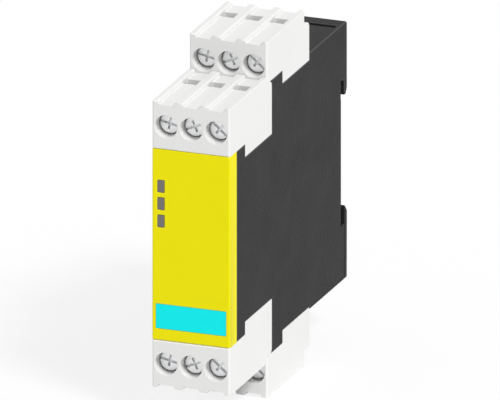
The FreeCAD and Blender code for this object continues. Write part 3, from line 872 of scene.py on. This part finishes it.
@dataclass
class ClampScrew:
    """A captive clamp screw: a pan head with a slot and a cross recess, on a threaded shank."""

    head_length: float = 2.0
    rim: float = 0.3
    # How far inside the face and the side the rim's middle corner lies, as a share of the rim.
    rim_bulge: float = 0.3
    seat_chamfer: float = 0.1
    slot_width: float = 0.75
    slot_depth: float = 0.9
    cross_reach: float = 1.7
    cross_width: float = 0.7
    cross_depth: float = 1.2
    # How much longer than the cut a cutter is, so that it stands out of the head.
    cutter_over: float = 1.0
    thread_pitch: float = 0.5
    thread_depth: float = 0.22
    # Half a thread's width, as a share of the pitch, and how far the thread is sunk into the core.
    flank_share: float = 0.42
    thread_sink: float = 0.05
    shank_radius: float = 1.45
    # How far the shank reaches into the head.
    shank_root: float = 0.3
    point: float = 0.5
    head_steps: int = 48
    thread_steps: int = 20

    def head(self, radius: float) -> bpy.types.Mesh:
        """Makes the head with its recess, its seat at y = head_length.

        Args:
            radius: the head's radius.

        Returns:
            The head's mesh, its front face at y = 0.
        """
        bulge = self.rim * self.rim_bulge
        profile = [
            (radius - self.rim, 0.0),
            (radius - bulge, bulge),
            (radius, self.rim),
            (radius, self.head_length - self.seat_chamfer),
            (radius - self.seat_chamfer, self.head_length),
        ]
        blank = mesh_of(revolved(profile, self.head_steps), "screw_head_blank")
        recess = bmesh.new()
        over = self.cutter_over
        for size in (
            (2 * radius + over, self.slot_depth + over, self.slot_width),
            (2 * self.cross_reach, self.cross_depth + over, self.cross_width),
            (self.cross_width, self.cross_depth + over, 2 * self.cross_reach),
        ):
            add_box(recess, size, (0.0, (size[1] - 2 * over) / 2, 0.0))
        return cut(blank, recess)

    def shank(self, length: float) -> bmesh.types.BMesh:
        """Makes the shank with its thread, from inside the head to the point.

        Args:
            length: the shank's length past the head's seat.

        Returns:
            The shank's shape.
        """
        core = self.shank_radius - self.thread_depth
        start, end = self.head_length - self.shank_root, self.head_length + length
        profile = [(core, start), (core, end - self.point), (core - self.point / 2, end)]
        shape = revolved(profile, self.thread_steps)
        first = self.head_length + self.thread_pitch
        turns = (end - self.point - first) / self.thread_pitch
        count = int(turns * self.thread_steps)
        flank = self.thread_pitch * self.flank_share
        sunk = core - self.thread_sink
        ridge = []
        for i in range(count + 1):
            turn = 2 * math.pi * i / self.thread_steps
            y = first + self.thread_pitch * i / self.thread_steps
            swell = min(1.0, i / self.thread_steps, (count - i) / self.thread_steps)
            crest = core + self.thread_depth * swell
            across = Vector((math.cos(turn), 0.0, math.sin(turn)))
            ridge.append(
                [
                    shape.verts.new(across * mm(r) + Vector((0.0, mm(y + side), 0.0)))
                    for r, side in ((sunk, -flank), (crest, 0.0), (sunk, flank))
                ]
            )
        for a, b in zip(ridge, ridge[1:]):
            for i in range(3):
                shape.faces.new((a[i], a[(i + 1) % 3], b[(i + 1) % 3], b[i]))
        shape.faces.new(list(reversed(ridge[0])))
        shape.faces.new(ridge[-1])
        bmesh.ops.recalc_face_normals(shape, faces=shape.faces)
        return shape

    def mesh(self, radius: float, length: float) -> bpy.types.Mesh:
        """Gives the whole screw about the y axis, made once and shared by all the screws.

        Args:
            radius: the head's radius.
            length: the whole length.

        Returns:
            The screw's mesh, its front face at y = 0.
        """
        made = bpy.data.meshes.get("clamp_screw")
        if made:
            return made
        shape = self.shank(length - self.head_length)
        shape.from_mesh(self.head(radius))
        return mesh_of(shape, "clamp_screw")


@dataclass
class TerminalBlock:
    """A plug-in block of three poles, with its screws, clamp cages and contact bars."""

    half: Half
    row: Row
    screw: ClampScrew
    edge: float = 0.12
    # How far the slot of each pole's screw is turned from level, in degrees.
    screw_turns: Triple = (12.0, -24.0, 41.0)

    @property
    def place(self) -> str:
        """The end of the names of this block's nodes."""
        return f"{self.half.value}_{self.row.value}"

    def build(self) -> None:
        """Builds the block and its screws, and dresses the metal inside."""
        node = f"block_{self.place}"
        body = eased_copy(node, f"terminal_{self.place}", self.edge, ["terminal", "terminal_edge"])
        report(body, body_of(node), [node])
        for pole, turn in enumerate(self.screw_turns, 1):
            self.build_screw(f"screw_{self.place}_{pole}", turn)
            dress(f"cage_{self.place}_{pole}", "cage")
        dress(f"contacts_{self.place}", "tinned")
        dress(f"pins_{self.place}", "tinned")
        dress(f"header_{self.place}", "header")

    def build_screw(self, node: str, turn: float) -> None:
        """Puts one screw in place of its CAD node.

        Args:
            node: the screw's CAD node.
            turn: how far its slot is turned from level, in degrees.
        """
        low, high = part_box(node)
        mesh = self.screw.mesh(in_mm(high.x - low.x) / 2, in_mm(high.y - low.y))
        piece = link_mesh(f"clamp_{node}", mesh, ["screw"])
        piece.location = ((low.x + high.x) / 2, low.y, (low.z + high.z) / 2)
        piece.rotation_euler = Euler((0.0, math.radians(turn), 0.0))
        report(piece, body_of(node), [node])


@dataclass
class Electronics:
    """The boards inside, with the relays, capacitors and chips that they carry."""

    relay_count: int = 2
    relay_edge: float = 0.4
    capacitor_count: int = 2
    capacitor_steps: int = 40
    # A capacitor's outline: how far each corner lies inside its radius, and how far from its foot or crown.
    foot: tuple[Pair, ...] = ((0.6, 0.0), (0.1, 0.3), (0.0, 0.8), (0.0, 1.8), (0.5, 2.4), (0.0, 3.0))
    crown: tuple[Pair, ...] = ((0.0, 0.6), (0.5, 0.1), (1.0, 0.0), (1.1, 0.25))
    # The cross scored into a can's end: its length over the radius, the width and height of its cutter, and
    # how far under the crown the cutter's middle lies.
    score_reach: float = 1.2
    score_width: float = 0.25
    score_height: float = 0.3
    score_drop: float = 0.2
    chip_count: int = 2
    chip_gap: float = 7.0
    chip_edge: float = 0.15
    # A row of legs is shorter than the chip by at least this much.
    leg_margin: float = 1.0
    leg_pitch: float = 0.8
    leg_width: float = 0.35
    leg_thickness: float = 0.2
    # How far inside the chip's side a leg starts, how far outside it the middle of its upright and the end
    # of its foot lie, and how far its bends are eased.
    leg_root: float = 0.2
    leg_out: float = 0.25
    leg_end: float = 0.85
    leg_bend: float = 0.08

    def build(self) -> None:
        """Dresses the boards and builds what stands on them."""
        for node in ("main_board", "logic_board"):
            dress(node, "board")
        dress("board_link", "header")
        for i in range(1, self.relay_count + 1):
            node = f"safety_relay_{i}"
            case = eased_copy(node, f"relay_case_{i}", self.relay_edge, ["relay", "relay_edge"])
            report(case, "root", [node])
        self.build_capacitors()
        self.build_chips()

    def capacitor(self, radius: float, length: float) -> bpy.types.Mesh:
        """Makes one capacitor about the y axis, its foot at y = 0.

        Args:
            radius: its radius.
            length: its length.

        Returns:
            Its mesh, whose scored end has the second finish.
        """
        profile = [(radius - inset, y) for inset, y in self.foot]
        profile += [(radius - inset, length - y) for inset, y in self.crown]
        can = revolved(profile, self.capacitor_steps)
        ends = [f for f in can.faces if len(f.verts) == self.capacitor_steps]
        crown = max(ends, key=lambda f: f.calc_center_median().y)
        crown.material_index = 1
        scores = bmesh.new()
        reach = self.score_reach * radius
        for x, z in ((reach, self.score_width), (self.score_width, reach)):
            add_box(scores, (x, self.score_height, z), (0.0, length - self.score_drop, 0.0))
        return cut(mesh_of(can, "capacitor"), scores)

    def build_capacitors(self) -> None:
        """Builds the capacitors with their sleeves, beads and scored ends."""
        low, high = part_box("capacitors")
        radius = in_mm(high.y - low.y) / 2
        pitch = (in_mm(high.z - low.z) - 2 * radius) / (self.capacitor_count - 1)
        upright = Matrix.Rotation(math.radians(-90), 4, "Z")
        shape = bmesh.new()
        for i in range(self.capacitor_count):
            mesh = self.capacitor(radius, in_mm(high.x - low.x))
            centre = Vector((low.x, (low.y + high.y) / 2, low.z + mm(radius + i * pitch)))
            mesh.transform(Matrix.Translation(centre) @ upright)
            shape.from_mesh(mesh)
        piece = link_mesh("storage_capacitors", mesh_of(shape, "storage_capacitors"), ["sleeve", "can"])
        report(piece, "root", ["capacitors"])

    def build_chips(self) -> None:
        """Builds the chips with their pin-one dimples, and their rows of legs as a piece of their own."""
        bodies = eased_copy("controller_chips", "chip_bodies", self.chip_edge, ["chip"], steps=1)
        report(bodies, "root", ["controller_chips"])
        low, high = [Vector(corner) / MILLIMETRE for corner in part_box("controller_chips")]
        length = (high.z - low.z - (self.chip_count - 1) * self.chip_gap) / self.chip_count
        per_side = int((length - self.leg_margin) / self.leg_pitch)
        legs = bmesh.new()
        for chip in range(self.chip_count):
            middle = low.z + length / 2 + chip * (length + self.chip_gap)
            for i in range(per_side):
                z = middle + (i - (per_side - 1) / 2) * self.leg_pitch
                for edge, side in ((low.y, -1), (high.y, 1)):
                    self.add_leg(legs, (low.x + high.x) / 2, high.x - self.leg_thickness / 2, edge, side, z)
        bmesh.ops.recalc_face_normals(legs, faces=legs.faces)
        piece = link_mesh("chip_legs", mesh_of(legs, "chip_legs"), ["tinned"])
        report(piece, "root")

    def add_leg(
        self, legs: bmesh.types.BMesh, knee: float, foot: float, edge: float, side: int, z: float
    ) -> None:
        """Adds one leg, a strip bent out of the chip's side, down to the board and out along it.

        Args:
            legs: the shape that it goes into.
            knee: the x of its shoulder, half way up the chip.
            foot: the x of its foot, on the board.
            edge: the y of the chip's side.
            side: which way the leg points along y, -1 or 1.
            z: its place along the chip.
        """
        half = self.leg_thickness / 2
        near, far = self.leg_out - half, self.leg_out + half
        # How far outside the chip's side each corner of the bent strip lies, and its x.
        outline = (
            (-self.leg_root, knee - half),
            (far - self.leg_bend, knee - half),
            (far, knee - half + self.leg_bend),
            (far, foot - half),
            (self.leg_end, foot - half),
            (self.leg_end, foot + half),
            (near + self.leg_bend, foot + half),
            (near, foot + half - self.leg_bend),
            (near, knee + half),
            (-self.leg_root, knee + half),
        )
        left, right = [
            [legs.verts.new((mm(x), mm(edge + side * out), mm(z + across))) for out, x in outline]
            for across in (-self.leg_width / 2, self.leg_width / 2)
        ]
        legs.faces.new(left)
        legs.faces.new(right)
        for i in range(len(outline)):
            legs.faces.new((left[i - 1], left[i], right[i], right[i - 1]))


@dataclass
class Studio:
    """The pale floor, the soft light and the camera."""

    # The view's angles, in degrees. The camera looks in parallel lines at a point of the frame.
    azimuth: float = 20.5
    elevation: float = 19.0
    frame_width: float = 135.7
    look_at: Triple = (11.25, -70.5, 9.35)
    camera_distance: float = 1000.0
    camera_reach: float = 10000.0
    floor_size: float = 6000.0
    floor_gap: float = 0.05
    floor: PaintedBoard = PaintedBoard("painted_board", "f2f2f2", 0.85, lift=0.82)
    fill_strength: float = 0.5
    white: float = 1.0
    # The way to the lamp, and its width as seen from the object, in degrees.
    key_from: Triple = (0.55, -0.33, 0.77)
    key_softness: float = 14.0
    key_strength: float = 2.5

    def build(self) -> None:
        """Builds the camera, the floor, the world and the lamp."""
        self.build_camera()
        self.build_floor()
        self.build_world()
        self.build_lamp()

    def build_camera(self) -> None:
        """Puts up a camera that looks in parallel lines, at the drawing's angle."""
        turn, rise = math.radians(self.azimuth), math.radians(self.elevation)
        back = Vector((math.sin(turn) * math.cos(rise), -math.cos(turn) * math.cos(rise), math.sin(rise)))
        camera = bpy.data.cameras.new("camera")
        camera.type = "ORTHO"
        camera.ortho_scale = mm(self.frame_width)
        camera.clip_end = mm(self.camera_reach)
        stand = add_object("camera", camera)
        stand.location = Vector(self.look_at) * MILLIMETRE + back * mm(self.camera_distance)
        stand.rotation_euler = back.to_track_quat("Z", "Y").to_euler()
        bpy.context.scene.camera = stand

    def build_floor(self) -> None:
        """Lays the floor a hair under the lowest point of the object, so that no face lies in it."""
        height = CAD_BOX[0].z - mm(self.floor_gap)
        half = mm(self.floor_size) / 2
        shape = bmesh.new()
        signs = ((-1, -1), (1, -1), (1, 1), (-1, 1))
        shape.faces.new([shape.verts.new((x * half, y * half, height)) for x, y in signs])
        floor = add_object("floor", mesh_of(shape, "floor"))
        floor.data.materials.append(self.floor.material())

    def build_world(self) -> None:
        """Lights the scene evenly from all round, and shows white as the background."""
        world = bpy.data.worlds.new("studio")
        world.use_nodes = True
        tree = world.node_tree
        tree.nodes.clear()
        colour = linear("ffffff")
        fill = add_node(tree, "ShaderNodeBackground", {"Color": colour, "Strength": self.fill_strength})
        plain = add_node(tree, "ShaderNodeBackground", {"Color": colour, "Strength": self.white})
        mix = add_node(
            tree,
            "ShaderNodeMixShader",
            {0: background_rays(tree), 1: fill.outputs[0], 2: plain.outputs[0]},
        )
        add_node(tree, "ShaderNodeOutputWorld", {"Surface": mix.outputs[0]})
        bpy.context.scene.world = world

    def build_lamp(self) -> None:
        """Hangs one broad key light at the upper right, which is as strong all over the floor."""
        light = bpy.data.lights.new("key_light", "SUN")
        light.energy = self.key_strength
        light.angle = math.radians(self.key_softness)
        lamp = add_object("key_light", light)
        lamp.rotation_euler = Vector(self.key_from).to_track_quat("Z", "Y").to_euler()


def main() -> None:
    logging.basicConfig(level=logging.INFO, format="%(name)s: %(message)s")
    bpy.context.scene.view_settings.view_transform = "Standard"
    Studio().build()
    Housing().build()
    FrontCover().build()
    screw = ClampScrew()
    for half in Half:
        for row in Row:
            TerminalBlock(half, row, screw).build()
    Electronics().build()


if __name__ == "__main__":
    main()
